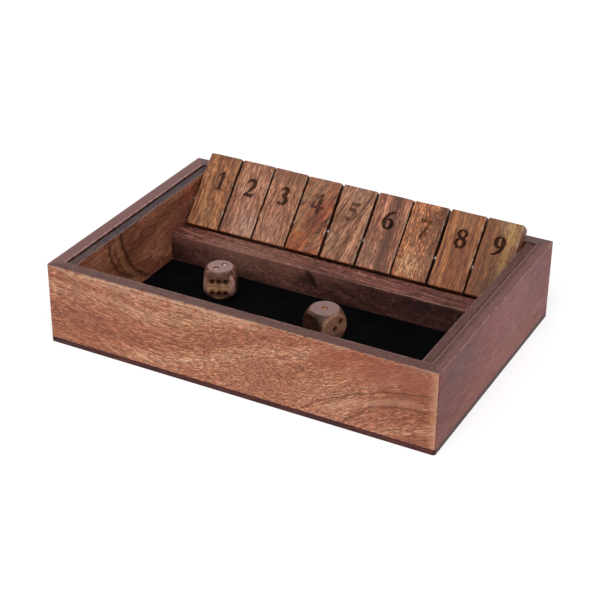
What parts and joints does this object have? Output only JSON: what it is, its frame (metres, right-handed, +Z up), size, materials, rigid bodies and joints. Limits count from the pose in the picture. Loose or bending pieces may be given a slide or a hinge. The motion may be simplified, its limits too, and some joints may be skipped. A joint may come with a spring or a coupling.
{
  "type": "shut the box game",
  "caption": "Shallow wooden tray box with a felted throwing floor, a row of number tiles hinged on one steel rod above a low rail, and loose wooden dice.",
  "frame": {"origin": "centre of the underside of the base board", "axes": "+X along the row of tiles to the player's right, +Y away from the player towards the tiles, +Z up"},
  "size_m": [0.29, 0.2, 0.0728],
  "materials": {
    "front_wall_wood": "hand-rubbed satin lacquer over figured hardwood",
    "outer_wall_wood": "hand-rubbed satin lacquer over hardwood",
    "stained_base_wood": "dark stained, satin",
    "liner_wood": "satin lacquer",
    "rail_wood": "satin lacquer",
    "tile_wood": "rubbed satin, burnt numerals",
    "die_wood": "waxed satin, burnt spots",
    "lining_board": "plain thin board, unseen under the felt",
    "black_felt": "short-nap wool felt",
    "rod_steel": "bright drawn rod",
    "pin_steel": "bright panel pins"
  },
  "bodies": {
    "box": {"front_wall": "front_wall_wood", "back_wall": "outer_wall_wood", "left_wall": "outer_wall_wood", "right_wall": "outer_wall_wood", "base_board": "stained_base_wood", "base_pins": "pin_steel", "left_liner": "liner_wood", "right_liner": "liner_wood", "tile_rail": "rail_wood", "lining_board": "lining_board", "felt_lining": "black_felt", "hinge_rod": "rod_steel"},
    "flap_1": {"tile_1": "tile_wood"},
    "flap_2": {"tile_2": "tile_wood"},
    "flap_3": {"tile_3": "tile_wood"},
    "flap_4": {"tile_4": "tile_wood"},
    "flap_5": {"tile_5": "tile_wood"},
    "flap_6": {"tile_6": "tile_wood"},
    "flap_7": {"tile_7": "tile_wood"},
    "flap_8": {"tile_8": "tile_wood"},
    "flap_9": {"tile_9": "tile_wood"},
    "loose_die_1": {"die_1": "die_wood"},
    "loose_die_2": {"die_2": "die_wood"}
  },
  "joints": [
    {"name": "tile_1_swing", "type": "hinge", "parent": "box", "child": "flap_1", "pos_m": [-0.11264, 0.06703, 0.0423], "axis": [1, 0, 0], "range_deg": [0, 146.9]},
    {"name": "tile_2_swing", "type": "hinge", "parent": "box", "child": "flap_2", "pos_m": [-0.08441, 0.06703, 0.0423], "axis": [1, 0, 0], "range_deg": [0, 146.9]},
    {"name": "tile_3_swing", "type": "hinge", "parent": "box", "child": "flap_3", "pos_m": [-0.05647, 0.06703, 0.0423], "axis": [1, 0, 0], "range_deg": [0, 146.9]},
    {"name": "tile_4_swing", "type": "hinge", "parent": "box", "child": "flap_4", "pos_m": [-0.02845, 0.06703, 0.0423], "axis": [1, 0, 0], "range_deg": [0, 146.9]},
    {"name": "tile_5_swing", "type": "hinge", "parent": "box", "child": "flap_5", "pos_m": [0.00036, 0.06703, 0.0423], "axis": [1, 0, 0], "range_deg": [0, 146.9]},
    {"name": "tile_6_swing", "type": "hinge", "parent": "box", "child": "flap_6", "pos_m": [0.02889, 0.06703, 0.0423], "axis": [1, 0, 0], "range_deg": [0, 146.9]},
    {"name": "tile_7_swing", "type": "hinge", "parent": "box", "child": "flap_7", "pos_m": [0.05668, 0.06703, 0.0423], "axis": [1, 0, 0], "range_deg": [0, 146.9]},
    {"name": "tile_8_swing", "type": "hinge", "parent": "box", "child": "flap_8", "pos_m": [0.08535, 0.06703, 0.0423], "axis": [1, 0, 0], "range_deg": [0, 146.9]},
    {"name": "tile_9_swing", "type": "hinge", "parent": "box", "child": "flap_9", "pos_m": [0.11337, 0.06703, 0.0423], "axis": [1, 0, 0], "range_deg": [0, 146.9]},
    {"name": "die_1_lift", "type": "slide", "parent": "box", "child": "loose_die_1", "axis": [0, 0, 1], "range_m": [0, 0.09]},
    {"name": "die_2_lift", "type": "slide", "parent": "box", "child": "loose_die_2", "axis": [0, 0, 1], "range_m": [0, 0.09]}
  ]
}
